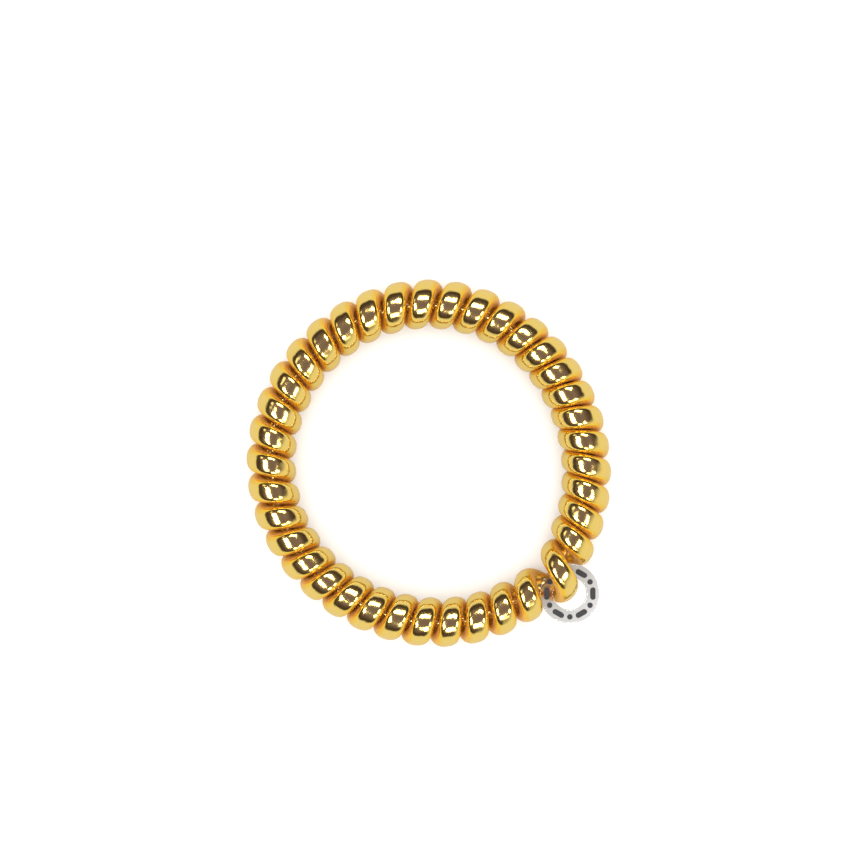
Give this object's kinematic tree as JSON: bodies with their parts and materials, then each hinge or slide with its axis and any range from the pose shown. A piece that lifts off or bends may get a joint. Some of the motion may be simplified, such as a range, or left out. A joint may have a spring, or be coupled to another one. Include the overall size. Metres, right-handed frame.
{
  "type": "spiral hair tie",
  "caption": "Slim spiral hair tie: an endless gold coiled wire in a loop, lying flat, with a small clear ring threaded on the wire.",
  "frame": {"origin": "middle of the whole tie's box, on the surface that it lies on", "axes": "+Z up, out of the loop's plane; +X to the right and +Y upwards in the picture, so the clear ring is at +X -Y"},
  "size_m": [0.0498, 0.0502, 0.0073],
  "materials": {
    "gold_wire": "elastic plastic wire with a mirror-bright gold finish",
    "clear_plastic": "clear, smooth plastic"
  },
  "bodies": {
    "root": {"spiral_coil": "gold_wire", "clear_ring": "clear_plastic"}
  },
  "joints": []
}
